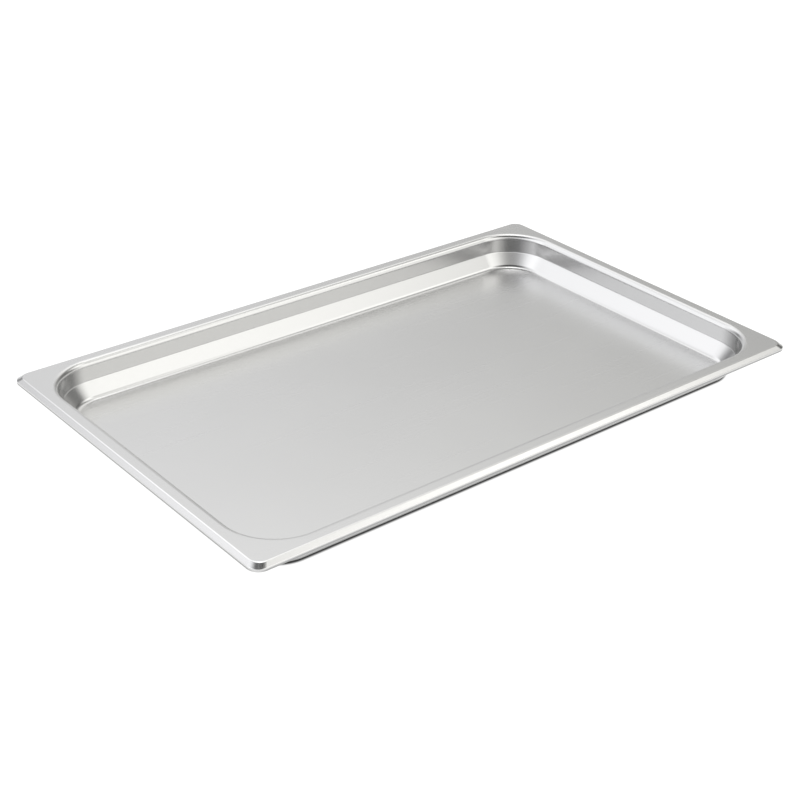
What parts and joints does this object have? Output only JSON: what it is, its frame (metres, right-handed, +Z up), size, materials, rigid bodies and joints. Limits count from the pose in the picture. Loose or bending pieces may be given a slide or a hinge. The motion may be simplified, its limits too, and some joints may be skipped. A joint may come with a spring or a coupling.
{
  "type": "food pan",
  "caption": "Shallow rectangular stainless steel food pan with a flat flange, turned-down lip, stepped walls and rounded inner corners.",
  "frame": {"origin": "centre of the pan's footprint on the surface it stands on", "axes": "+X along the long side, +Y along the short side, +Z up out of the pan's mouth"},
  "size_m": [0.53, 0.325, 0.029],
  "materials": {
    "steel": "satin floor and flange, brighter drawn walls"
  },
  "bodies": {
    "root": {"pan_body": "steel"}
  },
  "joints": []
}
